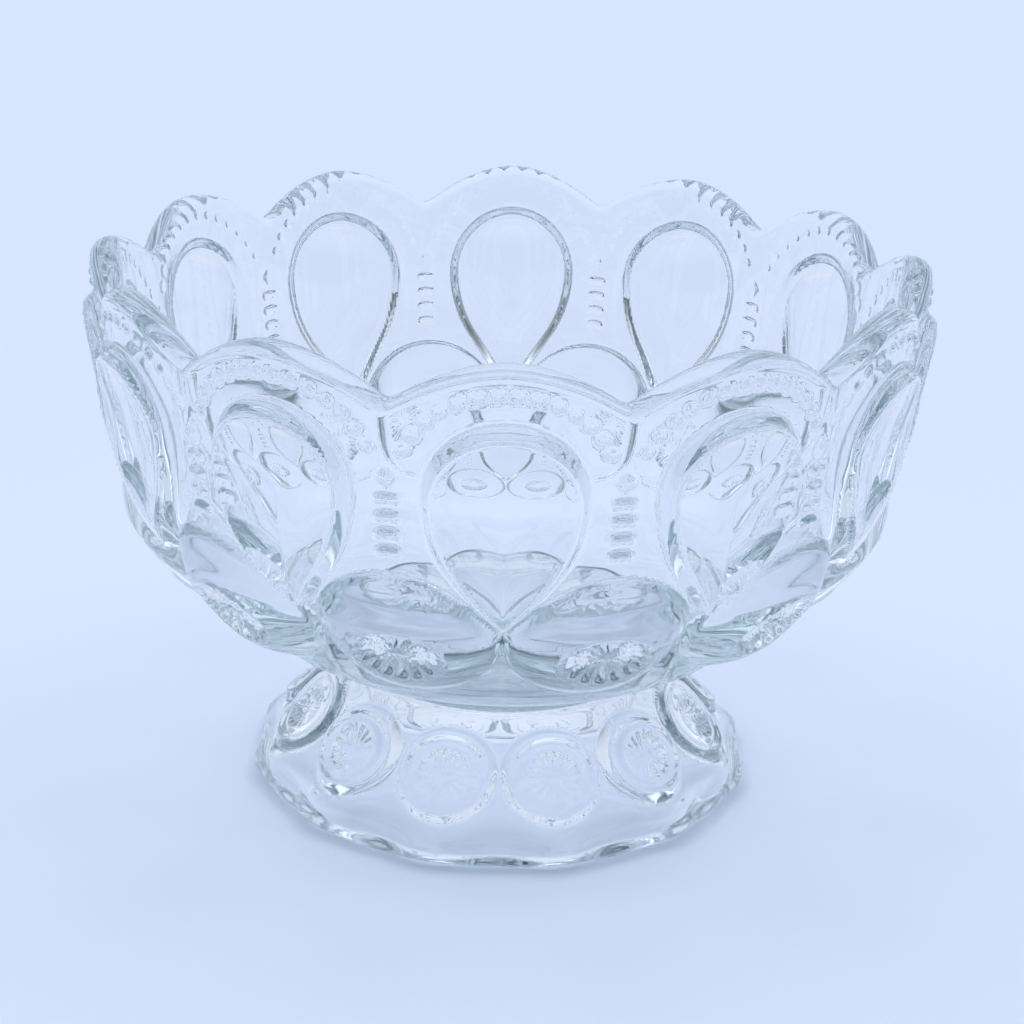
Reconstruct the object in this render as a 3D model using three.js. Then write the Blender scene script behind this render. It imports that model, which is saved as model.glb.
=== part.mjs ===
// Footed pressed-glass candy dish: a deep bowl with a twelve-scallop rim, joined by a
// short glass wafer to a hollow flared foot. Units are millimetres, +Z is up, the dish
// stands on Z = 0 and the middle of one scallop faces -Y.
import * as THREE from 'three';

// Driving dimensions
const SCALLOPS = 12;
const SEGMENTS = 8 * SCALLOPS;
const JOINT_GAP = 0.3;

// Heights of the stack
const FOOT_HEIGHT = 27;
const BOWL_BASE_Z = 31;
const BOWL_FLOOR_Z = 40;
const NOTCH_Z = 116.7;
const CROWN_RISE = 8.8;

// Bowl
const COLLAR_RADIUS = 34;
const RIM_RADIUS = 91;
const RIM_THICKNESS = 5.5;
const PANEL_BULGE = 3.8;
const PANEL_FOOT_Z = 76;
const BOWL_MOON = { radius: 19.3, height: 8.5, centreR: 75.5, centreZ: 63.5 };
const PANEL_DISH = { halfWidth: 13.5, halfHeight: 20, centreZ: 93, depth: 2.4 };

// Foot
const FOOT_RADIUS = 58.6;
const FOOT_EDGE = 3;
const FOOT_WALL = 6;
const FOOT_MOON = { radius: 10.5, height: 3, centreR: 45.5, centreZ: 15.4 };

const v = (r, z) => new THREE.Vector2(r, z);

const glass = (color) => new THREE.MeshStandardMaterial({
  color,
  roughness: 0.05,
  metalness: 0,
});

// Height of a scallop over its notches, from 1 in the middle of a scallop to 0 at a notch.
function crest(angle) {
  const pitch = 2 * Math.PI / SCALLOPS;
  const fromMiddle = Math.abs(angle - pitch * Math.round(angle / pitch));
  return 1 - (2 * fromMiddle / pitch) ** 1.8;
}

// Share of the way up the panelled part of the bowl wall, eased at both ends.
function panelShare(z) {
  return THREE.MathUtils.smoothstep(z, PANEL_FOOT_Z, NOTCH_Z);
}

// Dome height over the wall. The domes sit between the scallops, one below each notch.
function moonHeight(moon, angle, r, z) {
  const pitch = 2 * Math.PI / SCALLOPS;
  const turned = angle - pitch / 2;
  const across = r * (turned - pitch * Math.round(turned / pitch));
  const along = Math.hypot(r - moon.centreR, z - moon.centreZ);
  return moon.height * Math.max(0, 1 - (across ** 2 + along ** 2) / moon.radius ** 2);
}

// Depth of the oval dish sunk in the outside of each scallop's panel.
function dishDepth(angle, r, z) {
  const pitch = 2 * Math.PI / SCALLOPS;
  const across = r * (angle - pitch * Math.round(angle / pitch)) / PANEL_DISH.halfWidth;
  const up = (z - PANEL_DISH.centreZ) / PANEL_DISH.halfHeight;
  return PANEL_DISH.depth * Math.max(0, 1 - across ** 2 - up ** 2);
}

// Lathe with every vertex moved by shift(angle, r, z, index), index along the profile.
function shapedLathe(profile, shift) {
  const geometry = new THREE.LatheGeometry(profile, SEGMENTS);
  const position = geometry.attributes.position;
  for (let i = 0; i < position.count; i += 1) {
    const ring = Math.floor(i / profile.length);
    const index = i % profile.length;
    const angle = (ring % SEGMENTS) * 2 * Math.PI / SEGMENTS;
    const moved = shift(angle, profile[index].x, profile[index].y, index);
    position.setXYZ(i, moved.r * Math.sin(angle), -moved.r * Math.cos(angle), moved.z);
  }
  geometry.computeVertexNormals();
  return geometry;
}

function node(name, geometry, material) {
  const mesh = new THREE.Mesh(geometry, material);
  mesh.name = name;
  return mesh;
}

// Points of a smooth curve through the given ones, without its last point.
function smooth(points, count) {
  return new THREE.SplineCurve(points).getPoints(count).slice(0, -1);
}

function bowl() {
  const underside = smooth([
    v(COLLAR_RADIUS, BOWL_BASE_Z),
    v(46, 34.5),
    v(56, 39),
    v(63, 44.8),
    v(69, 52.5),
    v(74, 61),
    v(79.5, 68),
    v(85, 76.5),
    v(87.8, 88),
    v(89, 100),
    v(RIM_RADIUS, NOTCH_Z - 2),
  ], 15);
  const rim = [
    v(RIM_RADIUS, NOTCH_Z - 1.5),
    v(RIM_RADIUS - 1.5, NOTCH_Z),
    v(RIM_RADIUS - RIM_THICKNESS + 1.5, NOTCH_Z),
    v(RIM_RADIUS - RIM_THICKNESS, NOTCH_Z - 1.5),
  ];
  const inside = smooth([
    v(RIM_RADIUS - RIM_THICKNESS, NOTCH_Z - 2.5),
    v(83.5, 100),
    v(81, 84),
    v(76, 71.5),
    v(54, 51),
    v(28, BOWL_FLOOR_Z + 1.5),
    v(0, BOWL_FLOOR_Z),
  ], 8);
  const profile = [v(0, BOWL_BASE_Z), ...underside, ...rim, ...inside, v(0, BOWL_FLOOR_Z)];
  const outerEnd = 1 + underside.length + rim.length / 2;

  const shift = (angle, r, z, index) => {
    const share = panelShare(z);
    const lift = CROWN_RISE * crest(angle) * share;
    if (index >= outerEnd || r <= COLLAR_RADIUS) {
      return { r: r + lift * 0.1, z: z + lift };
    }
    const dome = moonHeight(BOWL_MOON, angle, r, z);
    const bulge = PANEL_BULGE * crest(angle) * share - dishDepth(angle, r, z);
    return { r: r + bulge + dome * Math.SQRT1_2, z: z + lift - dome * Math.SQRT1_2 };
  };
  return node('bowl', shapedLathe(profile, shift), glass(0xdfe9ec));
}

// Short disc of glass that holds the bowl on its foot.
function joiningWafer() {
  const bottom = FOOT_HEIGHT + JOINT_GAP;
  const top = BOWL_BASE_Z - JOINT_GAP;
  const waist = new THREE.SplineCurve([
    v(COLLAR_RADIUS, bottom),
    v(COLLAR_RADIUS - 1, (bottom + top) / 2),
    v(COLLAR_RADIUS, top),
  ]).getPoints(4);
  const profile = [v(0, bottom), ...waist, v(0, top)];
  return node('joining_wafer', shapedLathe(profile, (angle, r, z) => ({ r, z })), glass(0xdbe7ea));
}

function foot() {
  const skirt = smooth([
    v(FOOT_RADIUS, FOOT_EDGE),
    v(56, 7),
    v(FOOT_MOON.centreR, FOOT_MOON.centreZ),
    v(38.5, 22.5),
    v(COLLAR_RADIUS, FOOT_HEIGHT),
  ], 8);
  const hollow = smooth([
    v(0, FOOT_HEIGHT - FOOT_WALL),
    v(26, FOOT_HEIGHT - FOOT_WALL - 2),
    v(38, 13),
    v(FOOT_RADIUS - FOOT_EDGE - 4, 1),
  ], 6);
  const sole = [
    v(FOOT_RADIUS - FOOT_EDGE - 3.2, 0),
    v(FOOT_RADIUS - FOOT_EDGE, 0),
    v(FOOT_RADIUS - 0.9, 0.9),
  ];
  const profile = [...hollow, ...sole, ...skirt, v(COLLAR_RADIUS, FOOT_HEIGHT), v(0, FOOT_HEIGHT)];
  const outerStart = hollow.length + sole.length;

  const shift = (angle, r, z, index) => {
    const dome = index < outerStart ? 0 : moonHeight(FOOT_MOON, angle, r, z);
    return { r: r + dome * 0.77, z: z + dome * 0.64 };
  };
  return node('foot', shapedLathe(profile, shift), glass(0xdbe7e8));
}

const group = new THREE.Group();
group.name = 'candy_dish';
group.add(foot(), joiningWafer(), bowl());

export default group;
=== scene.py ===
"""Looks for a footed pressed-glass candy dish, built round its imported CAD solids.

The three pieces of glass are lathed profiles whose outer faces carry the pressed relief:
domed moons with star pits, drop-shaped loops, strings of beads and ladders between the loops.
Sizes are in millimetres until a mesh is made, and Blender gets metres.
"""

import math

import bpy
import numpy as np
from mathutils import Matrix, Vector

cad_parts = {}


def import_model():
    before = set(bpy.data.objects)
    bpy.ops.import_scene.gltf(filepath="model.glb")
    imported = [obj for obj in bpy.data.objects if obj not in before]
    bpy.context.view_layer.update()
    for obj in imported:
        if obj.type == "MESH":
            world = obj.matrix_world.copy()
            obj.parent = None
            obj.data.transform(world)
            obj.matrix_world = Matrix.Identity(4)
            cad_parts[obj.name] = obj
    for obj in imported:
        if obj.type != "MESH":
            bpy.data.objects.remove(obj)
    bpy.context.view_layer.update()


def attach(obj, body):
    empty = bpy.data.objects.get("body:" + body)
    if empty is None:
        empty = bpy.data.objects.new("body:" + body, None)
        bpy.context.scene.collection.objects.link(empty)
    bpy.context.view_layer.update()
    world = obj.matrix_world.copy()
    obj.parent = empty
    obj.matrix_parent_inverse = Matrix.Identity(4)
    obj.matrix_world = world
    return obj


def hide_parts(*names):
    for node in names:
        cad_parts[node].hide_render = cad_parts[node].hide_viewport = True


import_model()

MM = 0.001
FLOOR_Z = -0.0004
SCALLOPS = 12
PITCH = 2 * math.pi / SCALLOPS
AROUND = 72 * SCALLOPS

# Bowl
NOTCH_Z = 116.7
CROWN_RISE = 8.8
RIM_OUTER = 91.0
RIM_INNER = 85.3
RIM_ROUND = 3.0
PANEL_BULGE = 1.9
COLLAR = 34.0
BOWL_BASE_Z = 31.0
FOOT_TOP_Z = 27.0
JOINT_LAP = 0.1
WAIST = 0.8

PANEL_FROM_Z = 76.0
PANEL_FULL_Z = 112.0

MOON_CENTRE_Z = 63.5
MOON_RADIUS = 19.3
MOON_STEP = 1.0
MOON_EDGE = 1.2
MOON_DOME = 7.5
STAR_RADIUS = 9.4
STAR_DEPTH = 3.0
STAR_FLUTES = 16
FLUTE_DEPTH = 2.6

LOOP_CENTRE_Z = 97.9
LOOP_RADIUS = 16.6
LOOP_SIDE = 1.9 * LOOP_RADIUS
LOOP_DROP = 2.03 * LOOP_RADIUS
LOOP_CREST = 3.8
LOOP_FLANK = 2.6
LOOP_DISH = 2.9

BEAD_ARC = 22.2
BEAD_RADIUS = 1.5
BEAD_RISE = 0.8
BEAD_COUNT = 14
BEAD_FROM = math.radians(25)

RUNG_Z = (85.2, 89.0, 92.8, 96.6)
RUNG_HALF = 2.4
RUNG_RISE = 1.1
DIAMOND_Z = 101.0
DIAMOND_RISE = 1.3

# Foot
FOOT_MOON_CENTRE_Z = 15.3
FOOT_MOON_RADIUS = 11.6
FOOT_MOON_STEP = 1.3
FOOT_MOON_EDGE = 3.8
FOOT_MOON_DOME = 1.6
FOOT_MOON_LIP = 1.0
FOOT_STAR_RADIUS = 6.2
FOOT_STAR_DEPTH = 1.2
FOOT_FLUTE_DEPTH = 0.6
FOOT_EDGE_MIDDLE = 55.6
FOOT_EDGE_ROUND = 3.0
FOOT_EDGE_TOP = math.radians(25)
FOOT_WAVE = 0.9
FOOT_RIPPLE = 0.25
EDGE_SWELL = 0.7
EDGE_BLEND = 7.0

# Studio: each layer has a direction, a range along it, and the tones at both ends
SKY_LAYERS = (
    ((0, 1, 0.9), -0.1, 0.65, ((0.14, 0.16, 0.18), (0.745, 0.815, 0.975))),
    ((0, 0, 1), 0.5, 0.9, ((1, 1, 1), (1.65, 1.65, 1.65))),
)


def smoothstep(x, low, high):
    t = np.clip((x - low) / (high - low), 0, 1)
    return t * t * (3 - 2 * t)


def curve(points, step):
    """Points about a step apart along a smooth curve through the given ones."""
    p = np.array(points, float)
    p = np.vstack([2 * p[0] - p[1], p, 2 * p[-1] - p[-2]])
    knots = np.concatenate([[0], np.cumsum(np.linalg.norm(np.diff(p, axis=0), axis=1) ** 0.5)])
    dense = []
    for i in range(1, len(p) - 2):
        t0, t1, t2, t3 = knots[i - 1 : i + 3]
        t = np.linspace(t1, t2, 60)[:-1, None]
        a1 = ((t1 - t) * p[i - 1] + (t - t0) * p[i]) / (t1 - t0)
        a2 = ((t2 - t) * p[i] + (t - t1) * p[i + 1]) / (t2 - t1)
        a3 = ((t3 - t) * p[i + 1] + (t - t2) * p[i + 2]) / (t3 - t2)
        b1 = ((t2 - t) * a1 + (t - t0) * a2) / (t2 - t0)
        b2 = ((t3 - t) * a2 + (t - t1) * a3) / (t3 - t1)
        dense.append(((t2 - t) * b1 + (t - t1) * b2) / (t2 - t1))
    dense = np.vstack(dense + [p[-2:-1]])
    length = np.concatenate([[0], np.cumsum(np.linalg.norm(np.diff(dense, axis=0), axis=1))])
    along = np.linspace(0, length[-1], max(2, int(round(length[-1] / step)) + 1))
    return np.column_stack([np.interp(along, length, dense[:, k]) for k in (0, 1)])


def arc_length(profile):
    return np.concatenate([[0], np.cumsum(np.linalg.norm(np.diff(profile, axis=0), axis=1))])


def normals(profile):
    """Unit normals on the right-hand side of the profile's direction of travel."""
    t = np.gradient(profile, axis=0)
    t /= np.linalg.norm(t, axis=1)[:, None]
    return np.column_stack([t[:, 1], -t[:, 0]])


def off_middle(angle, shift=0.0):
    """Angle from the nearest scallop's middle, or from the nearest notch with shift PITCH / 2."""
    return angle - shift - PITCH * np.round((angle - shift) / PITCH)


def crest(angle, soft=0.05):
    """1 in the middle of a scallop and 0 in a notch, which is rounded by soft."""
    from_notch = 1 - np.abs(off_middle(angle)) * 2 / PITCH
    from_notch = (np.hypot(from_notch, soft) - soft) / (math.hypot(1, soft) - soft)
    return 1 - np.clip(1 - from_notch, 0, 1) ** 1.8


def wall_crest(angle, z):
    """The crest's shape at height z of the wall: its notches get rounder further down."""
    return crest(angle, 0.5 - 0.45 * smoothstep(z, 92, NOTCH_Z - RIM_ROUND))


def radius_at(profile, z):
    """The profile's radius at height z, carried on along its last slope above its top."""
    (r0, z0), (r1, z1) = profile[-8], profile[-1]
    on = r1 + (z - z1) * (r1 - r0) / (z1 - z0)
    return np.where(z > z1, on, np.interp(z, profile[:, 1], profile[:, 0]))


def lathe(name, rows):
    """A closed mesh from rows of points round the axis, each a radius and a height by angle."""
    angle = np.arange(AROUND) * 2 * math.pi / AROUND
    r = np.array([np.broadcast_to(row[0], AROUND) for row in rows])
    z = np.array([np.broadcast_to(row[1], AROUND) for row in rows])
    co = np.stack([r * np.sin(angle), -r * np.cos(angle), z], axis=-1).reshape(-1, 3)
    poles = [[0, 0, z[0].mean()], [0, 0, z[-1].mean()]]
    co = np.vstack([co, poles]) * MM
    count = len(rows)
    i = np.arange(AROUND)
    j = np.arange(count - 1)[:, None]
    here, after = i[None, :], (i[None, :] + 1) % AROUND
    quads = np.stack(
        [j * AROUND + here, j * AROUND + after, (j + 1) * AROUND + after, (j + 1) * AROUND + here],
        axis=-1,
    ).reshape(-1, 4)
    top = (count - 1) * AROUND
    low_fan = np.column_stack([np.full(AROUND, count * AROUND), (i + 1) % AROUND, i])
    high_pole = np.full(AROUND, count * AROUND + 1)
    high_fan = np.column_stack([high_pole, top + i, top + (i + 1) % AROUND])
    loops = np.concatenate([quads.ravel(), low_fan.ravel(), high_fan.ravel()])
    totals = np.concatenate([np.full(len(quads), 4), np.full(2 * AROUND, 3)])
    starts = np.concatenate([[0], np.cumsum(totals)[:-1]])
    mesh = bpy.data.meshes.new(name)
    mesh.vertices.add(len(co))
    mesh.vertices.foreach_set("co", co.astype(np.float32).ravel())
    mesh.loops.add(len(loops))
    mesh.loops.foreach_set("vertex_index", loops.astype(np.int32))
    mesh.polygons.add(len(totals))
    mesh.polygons.foreach_set("loop_start", starts.astype(np.int32))
    mesh.polygons.foreach_set("loop_total", totals.astype(np.int32))
    mesh.polygons.foreach_set("use_smooth", np.ones(len(totals), bool))
    mesh.update(calc_edges=True)
    mesh.validate()
    obj = bpy.data.objects.new(name, mesh)
    bpy.context.scene.collection.objects.link(obj)
    return obj


def moon(x, y, radius, step, edge, dome, star_radius, star_depth, flute_depth, lip=0.0):
    """Height of a domed disc with a fluted star pit in its middle, at x across and y up.

    A lip is a rounded ring just inside the disc's edge.
    """
    d = np.hypot(x, y)
    inward = np.clip((radius - d) / edge, 0, 1)
    height = step * np.sqrt(inward * (2 - inward)) + dome * (1 - np.clip(d / radius, 0, 1) ** 2)
    height += lip * np.sin(math.pi * inward) ** 2
    height = np.where(d < radius, height, 0)
    pit = star_depth * np.clip(1 - (d / star_radius) ** 1.4, 0, 1)
    turn = np.arctan2(y, x) * STAR_FLUTES / (2 * math.pi)
    ridge = np.abs(2 * (turn - np.floor(turn)) - 1)
    reach = np.clip(d / star_radius, 0, 1)
    pit += flute_depth * ridge * smoothstep(reach, 0.0, 0.5) * (1 - smoothstep(reach, 0.8, 1.0))
    return np.maximum(height - pit, 0)


def loop(x, y):
    """Height of a drop-shaped boss with a raised edge line and a dished middle.

    The outline is a round top, fuller arcs down both sides and straight lines to the tip.
    """
    x = np.abs(x)
    centre = LOOP_SIDE - LOOP_RADIUS
    reach = math.hypot(centre, LOOP_DROP)
    half = math.asin(LOOP_SIDE / reach) - math.atan2(centre, LOOP_DROP)
    above = y + LOOP_DROP
    along = x * math.sin(half) + above * math.cos(half)
    line = x * math.cos(half) - above * math.sin(half)
    outside = np.where(
        y > 0,
        np.hypot(x, y) - LOOP_RADIUS,
        np.where(
            along > math.sqrt(reach**2 - LOOP_SIDE**2),
            np.hypot(x + centre, y) - LOOP_SIDE,
            np.where(along < 0, np.hypot(x, above), line),
        ),
    )
    flank = LOOP_CREST * np.clip(-outside / LOOP_FLANK, 0, 1.3)
    inward = np.clip((-outside - LOOP_FLANK) / (LOOP_RADIUS - LOOP_FLANK), 0, 1)
    dish = LOOP_CREST - LOOP_DISH * (1 - (1 - inward) ** 2)
    return np.minimum(flank, dish)


def beads(x, y):
    """A string of low round beads over the top of a loop."""
    step = (math.pi - 2 * BEAD_FROM) / (BEAD_COUNT - 1)
    turn = np.arctan2(y, x)
    index = np.clip(np.round((turn - BEAD_FROM) / step), 0, BEAD_COUNT - 1)
    at = BEAD_FROM + index * step
    d = np.hypot(x - BEAD_ARC * np.cos(at), y - BEAD_ARC * np.sin(at))
    return BEAD_RISE * np.clip(1 - (d / BEAD_RADIUS) ** 2, 0, None) ** 1.5


def ladder(x, z):
    """Rungs in the narrow space between two loops, with a small diamond over them."""
    height = np.zeros(np.broadcast(x, z).shape)
    for middle in RUNG_Z:
        bowed = z - middle + 0.08 * x**2
        across = 1 - smoothstep(np.abs(x), RUNG_HALF - 0.7, RUNG_HALF + 0.3)
        along = 1 - smoothstep(np.abs(bowed), 0.3, 1.1)
        height = np.maximum(height, RUNG_RISE * across * along)
    diamond = DIAMOND_RISE - 0.55 * np.abs(x) - 0.45 * np.abs(z - DIAMOND_Z)
    return np.maximum(height, np.clip(diamond, 0, None))


def bowl():
    """The bowl, from under its base out over the patterned wall and rim to its smooth inside."""
    angle = np.arange(AROUND) * 2 * math.pi / AROUND
    to_middle, to_notch = off_middle(angle), off_middle(angle, PITCH / 2)
    outer = curve(
        [
            (COLLAR, BOWL_BASE_Z),
            (46, 34.5),
            (56, 39),
            (63, 44.8),
            (69, 52.5),
            (74, 61),
            (79.5, 68),
            (85, 76.5),
            (87.8, 88),
            (89, 100),
            (RIM_OUTER, NOTCH_Z - RIM_ROUND),
        ],
        0.55,
    )
    along = arc_length(outer)
    side = normals(outer)
    moon_at = np.interp(MOON_CENTRE_Z, outer[:, 1], along)
    loop_at = np.interp(LOOP_CENTRE_Z, outer[:, 1], along)
    round_crest = crest(angle, 0.4)
    rows = [(COLLAR * t, BOWL_BASE_Z - JOINT_LAP) for t in (0.02, 0.5, 0.985)]
    for (r, z), s, (nr, nz) in zip(outer, along, side):
        scallop = wall_crest(angle, z)
        rise = smoothstep(z, PANEL_FROM_Z, NOTCH_Z - RIM_ROUND)
        lift = CROWN_RISE * scallop * rise
        wall = radius_at(outer, z + lift)
        r_here = wall + round_crest * PANEL_BULGE * smoothstep(z + lift, PANEL_FROM_Z, PANEL_FULL_Z)
        up = s + lift
        relief = np.maximum.reduce(
            [
                moon(
                    r * to_notch, s - moon_at, MOON_RADIUS, MOON_STEP, MOON_EDGE, MOON_DOME,
                    STAR_RADIUS, STAR_DEPTH, FLUTE_DEPTH,
                ),
                loop(r_here * to_middle, up - loop_at),
                beads(r_here * to_middle, up - loop_at),
                ladder(r_here * to_notch, z + lift),
            ]
        )
        rows.append((r_here + nr * relief, z + lift + nz * relief))
    inner = curve(
        [
            (RIM_INNER, NOTCH_Z - RIM_ROUND),
            (83.5, 100),
            (81.5, 88),
            (79.4, 79),
            (75.6, 70.8),
            (70, 64.2),
            (62.6, 57.6),
            (54, 51),
            (44, 45.2),
            (33, 42),
            (17, 40.3),
            (1.5, 40),
        ],
        2.0,
    )
    scallop = crest(angle)
    lift = CROWN_RISE * scallop
    edge = radius_at(outer, NOTCH_Z - RIM_ROUND + lift) + PANEL_BULGE * round_crest
    inner_edge = radius_at(inner[::-1], NOTCH_Z - RIM_ROUND + lift)
    for turn in np.linspace(0, math.pi, 17)[1:-1]:
        middle, half = (edge + inner_edge) / 2, (edge - inner_edge) / 2
        height = NOTCH_Z - RIM_ROUND + lift + RIM_ROUND * math.sin(turn)
        rows.append((middle + half * math.cos(turn), height))
    for r, z in inner:
        rise = smoothstep(z, PANEL_FROM_Z, NOTCH_Z - RIM_ROUND)
        up = CROWN_RISE * wall_crest(angle, z) * rise
        rows.append((radius_at(inner[::-1], z + up), z + up))
    return lathe("bowl_glass", rows)


def wafer():
    """The short smooth collar of glass between the foot and the bowl."""
    low, high = FOOT_TOP_Z - JOINT_LAP, BOWL_BASE_Z + JOINT_LAP
    rows = [(COLLAR * t, low) for t in (0.02, 0.5, 0.99)]
    waist = curve(
        [(COLLAR, FOOT_TOP_Z), (COLLAR - WAIST, (low + high) / 2), (COLLAR, BOWL_BASE_Z)], 0.4
    )
    rows += [tuple(p) for p in waist]
    rows += [(COLLAR * t, high) for t in (0.99, 0.5, 0.02)]
    return lathe("joining_wafer_glass", rows)


def foot():
    """A hollow flared foot: a wavy rounded edge, and domed moons between the bowl's scallops."""
    angle = np.arange(AROUND) * 2 * math.pi / AROUND
    to_notch = off_middle(angle, PITCH / 2)
    wave = FOOT_WAVE * np.cos(SCALLOPS * (angle - PITCH / 2))
    fine = FOOT_RIPPLE * np.cos(2 * SCALLOPS * angle + 0.8)
    hollow = curve(
        [(1, 21), (20, 20.2), (30, 17.6), (38, 12.6), (46, 6), (50.5, 1.6), (52.4, 0)], 1.6
    )
    rows = [(r + 1.3 * wave * smoothstep(r, 40, 52), z) for r, z in hollow]
    rows += [(54.6 + 0.6 * wave, 0.0)]
    sweep = math.pi / 2 + FOOT_EDGE_TOP
    for turn in np.linspace(-math.pi / 2, FOOT_EDGE_TOP, 12):
        edge = FOOT_EDGE_MIDDLE + FOOT_EDGE_ROUND * math.cos(turn)
        share = (turn + math.pi / 2) / sweep
        height = FOOT_EDGE_ROUND + FOOT_EDGE_ROUND * math.sin(turn)
        rows.append((edge + (wave + fine) * share, height))
    outer = curve(
        [
            (
                FOOT_EDGE_MIDDLE + FOOT_EDGE_ROUND * math.cos(FOOT_EDGE_TOP),
                FOOT_EDGE_ROUND + FOOT_EDGE_ROUND * math.sin(FOOT_EDGE_TOP),
            ),
            (57, 6),
            (54, 7.7),
            (50.5, 10.2),
            (45.3, 15.6),
            (41, 20.6),
            (37.4, 24.4),
            (COLLAR, FOOT_TOP_Z),
        ],
        0.5,
    )
    along = arc_length(outer)
    side = normals(outer)
    moon_at = np.interp(-FOOT_MOON_CENTRE_Z, -outer[::-1, 1], along[::-1])
    for (r, z), s, (nr, nz) in list(zip(outer, along, side))[1:]:
        relief = moon(
            r * to_notch, s - moon_at, FOOT_MOON_RADIUS, FOOT_MOON_STEP, FOOT_MOON_EDGE,
            FOOT_MOON_DOME, FOOT_STAR_RADIUS, FOOT_STAR_DEPTH, FOOT_FLUTE_DEPTH, FOOT_MOON_LIP,
        )
        ripple = (wave + fine) * (1 - smoothstep(s, 0, EDGE_BLEND))
        swell = EDGE_SWELL * np.cos(SCALLOPS * angle)
        swell = swell * smoothstep(s, 0, 2) * (1 - smoothstep(s, 2, EDGE_BLEND))
        rows.append((r + nr * relief + ripple, z + nz * relief + swell))
    rows += [(COLLAR * t, FOOT_TOP_Z + JOINT_LAP) for t in (0.985, 0.5, 0.02)]
    return lathe("foot_glass", rows)


def glass(name, seed):
    """Clear pressed glass: faint waves of the mould on its skin, and a slight grey-green body."""
    material = bpy.data.materials.new(name)
    material.use_nodes = True
    nodes, links = material.node_tree.nodes, material.node_tree.links
    nodes.clear()
    out = nodes.new("ShaderNodeOutputMaterial")
    skin = nodes.new("ShaderNodeBsdfPrincipled")
    skin.inputs["Base Color"].default_value = (1, 1, 1, 1)
    skin.inputs["IOR"].default_value = 1.51
    skin.inputs["Transmission Weight"].default_value = 1.0
    body = nodes.new("ShaderNodeVolumeAbsorption")
    body.inputs["Color"].default_value = (0.58, 0.70, 0.71, 1)
    body.inputs["Density"].default_value = 8.0
    place = nodes.new("ShaderNodeTexCoord")
    mould = nodes.new("ShaderNodeTexNoise")
    mould.noise_dimensions = "4D"
    mould.inputs["W"].default_value = seed
    mould.inputs["Scale"].default_value = 70
    mould.inputs["Detail"].default_value = 2
    bump = nodes.new("ShaderNodeBump")
    bump.inputs["Strength"].default_value = 0.08
    bump.inputs["Distance"].default_value = 0.0006
    polish = nodes.new("ShaderNodeTexNoise")
    polish.noise_dimensions = "4D"
    polish.inputs["W"].default_value = seed + 5
    polish.inputs["Scale"].default_value = 24
    spread = nodes.new("ShaderNodeMapRange")
    spread.inputs["To Min"].default_value = 0.0
    spread.inputs["To Max"].default_value = 0.035
    links.new(place.outputs["Object"], mould.inputs["Vector"])
    links.new(place.outputs["Object"], polish.inputs["Vector"])
    links.new(mould.outputs["Fac"], bump.inputs["Height"])
    links.new(bump.outputs["Normal"], skin.inputs["Normal"])
    links.new(polish.outputs["Fac"], spread.inputs["Value"])
    links.new(spread.outputs["Result"], skin.inputs["Roughness"])
    links.new(skin.outputs["BSDF"], out.inputs["Surface"])
    links.new(body.outputs["Volume"], out.inputs["Volume"])
    return material


def floor():
    """A wide pale sheet under the dish."""
    half = 7.0
    steps = 8
    line = np.linspace(-half, half, steps + 1)
    verts = [(x, y, FLOOR_Z) for y in line for x in line]
    faces = [
        (a, a + 1, a + steps + 2, a + steps + 1)
        for a in (row * (steps + 1) + column for row in range(steps) for column in range(steps))
    ]
    mesh = bpy.data.meshes.new("floor")
    mesh.from_pydata(verts, [], faces)
    obj = bpy.data.objects.new("floor", mesh)
    bpy.context.scene.collection.objects.link(obj)
    material = bpy.data.materials.new("pale_sheet")
    material.use_nodes = True
    nodes, links = material.node_tree.nodes, material.node_tree.links
    skin = nodes["Principled BSDF"]
    skin.inputs["Roughness"].default_value = 0.9
    skin.inputs["Specular IOR Level"].default_value = 0.0
    place = nodes.new("ShaderNodeTexCoord")
    cloud = nodes.new("ShaderNodeTexNoise")
    cloud.inputs["Scale"].default_value = 1.2
    tone = nodes.new("ShaderNodeMix")
    tone.data_type = "RGBA"
    tone.inputs["A"].default_value = (0.86, 0.90, 0.985, 1)
    tone.inputs["B"].default_value = (0.88, 0.91, 0.99, 1)
    links.new(place.outputs["Object"], cloud.inputs["Vector"])
    links.new(cloud.outputs["Fac"], tone.inputs["Factor"])
    links.new(tone.outputs["Result"], skin.inputs["Base Color"])
    obj.data.materials.append(material)
    return obj


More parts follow.
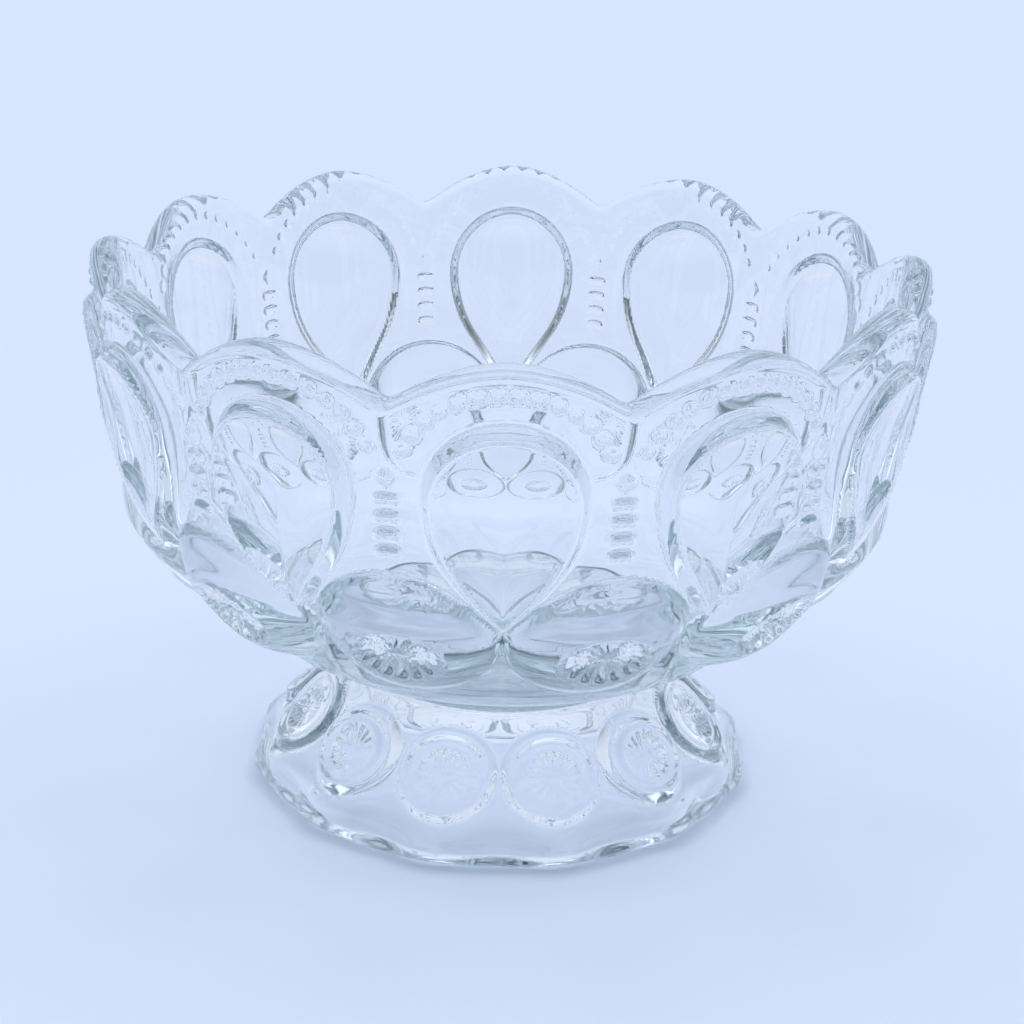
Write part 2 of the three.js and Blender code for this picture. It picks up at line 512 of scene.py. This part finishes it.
def world():
    """Soft pale studio light from behind and above, dark low down on the viewer's side."""
    scene = bpy.context.scene
    scene.world = bpy.data.worlds.new("studio")
    scene.world.use_nodes = True
    nodes, links = scene.world.node_tree.nodes, scene.world.node_tree.links
    nodes.clear()
    out = nodes.new("ShaderNodeOutputWorld")
    back = nodes.new("ShaderNodeBackground")
    back.inputs["Strength"].default_value = 1.0
    place = nodes.new("ShaderNodeTexCoord")
    colour = None
    for axis, low, high, tones in SKY_LAYERS:
        ease = nodes.new("ShaderNodeMapRange")
        ease.interpolation_type = "SMOOTHSTEP"
        ease.inputs["From Min"].default_value = low
        ease.inputs["From Max"].default_value = high
        toward = nodes.new("ShaderNodeVectorMath")
        toward.operation = "DOT_PRODUCT"
        toward.inputs[1].default_value = axis
        links.new(place.outputs["Generated"], toward.inputs[0])
        links.new(toward.outputs["Value"], ease.inputs["Value"])
        tone = nodes.new("ShaderNodeMix")
        tone.data_type = "RGBA"
        tone.inputs["A"].default_value = (*tones[0], 1)
        tone.inputs["B"].default_value = (*tones[1], 1)
        links.new(ease.outputs["Result"], tone.inputs["Factor"])
        if colour is None:
            colour = tone.outputs["Result"]
        else:
            both = nodes.new("ShaderNodeMix")
            both.data_type = "RGBA"
            both.blend_type = "MULTIPLY"
            both.inputs["Factor"].default_value = 1.0
            links.new(colour, both.inputs["A"])
            links.new(tone.outputs["Result"], both.inputs["B"])
            colour = both.outputs["Result"]
    links.new(colour, back.inputs["Color"])
    links.new(back.outputs["Background"], out.inputs["Surface"])


def camera():
    """A long lens from a little above the rim, tipped and rolled slightly."""
    reach, rise = 0.5287, math.radians(22.1)
    pitch, yaw, roll = math.radians(1.72), math.radians(0.17), math.radians(1.42)
    target = Vector((0, 0, 0.0455))
    forward = Vector((0, math.cos(rise), -math.sin(rise)))
    across = Vector((1, 0, 0))
    up = across.cross(forward)
    place = target - forward * reach
    forward, up = (
        forward * math.cos(pitch) + up * math.sin(pitch),
        up * math.cos(pitch) - forward * math.sin(pitch),
    )
    forward, across = (
        forward * math.cos(yaw) + across * math.sin(yaw),
        across * math.cos(yaw) - forward * math.sin(yaw),
    )
    across, up = (
        across * math.cos(roll) + up * math.sin(roll),
        up * math.cos(roll) - across * math.sin(roll),
    )
    data = bpy.data.cameras.new("camera")
    data.sensor_width = 36
    data.lens = 78.6
    data.clip_start, data.clip_end = 0.01, 50
    obj = bpy.data.objects.new("camera", data)
    turn = Matrix((across, up, -forward)).transposed().to_4x4()
    obj.matrix_world = Matrix.Translation(place) @ turn
    bpy.context.scene.collection.objects.link(obj)
    bpy.context.scene.camera = obj


PIECES = (
    (bowl, "bowl", "bowl_glass", 1.0),
    (wafer, "joining_wafer", "wafer_glass", 2.0),
    (foot, "foot", "foot_glass", 3.0),
)
for shape, node, slot, seed in PIECES:
    piece = shape()
    piece.data.materials.append(glass(piece.name, seed))
    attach(piece, "root")
    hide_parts(node)

floor()
world()
camera()

scene = bpy.context.scene
scene.view_settings.view_transform = "Standard"
scene.cycles.max_bounces = 32
scene.cycles.transmission_bounces = 32
scene.cycles.glossy_bounces = 32
scene.cycles.transparent_max_bounces = 16
scene.cycles.caustics_refractive = True
scene.cycles.caustics_reflective = True
scene.cycles.blur_glossy = 0.0
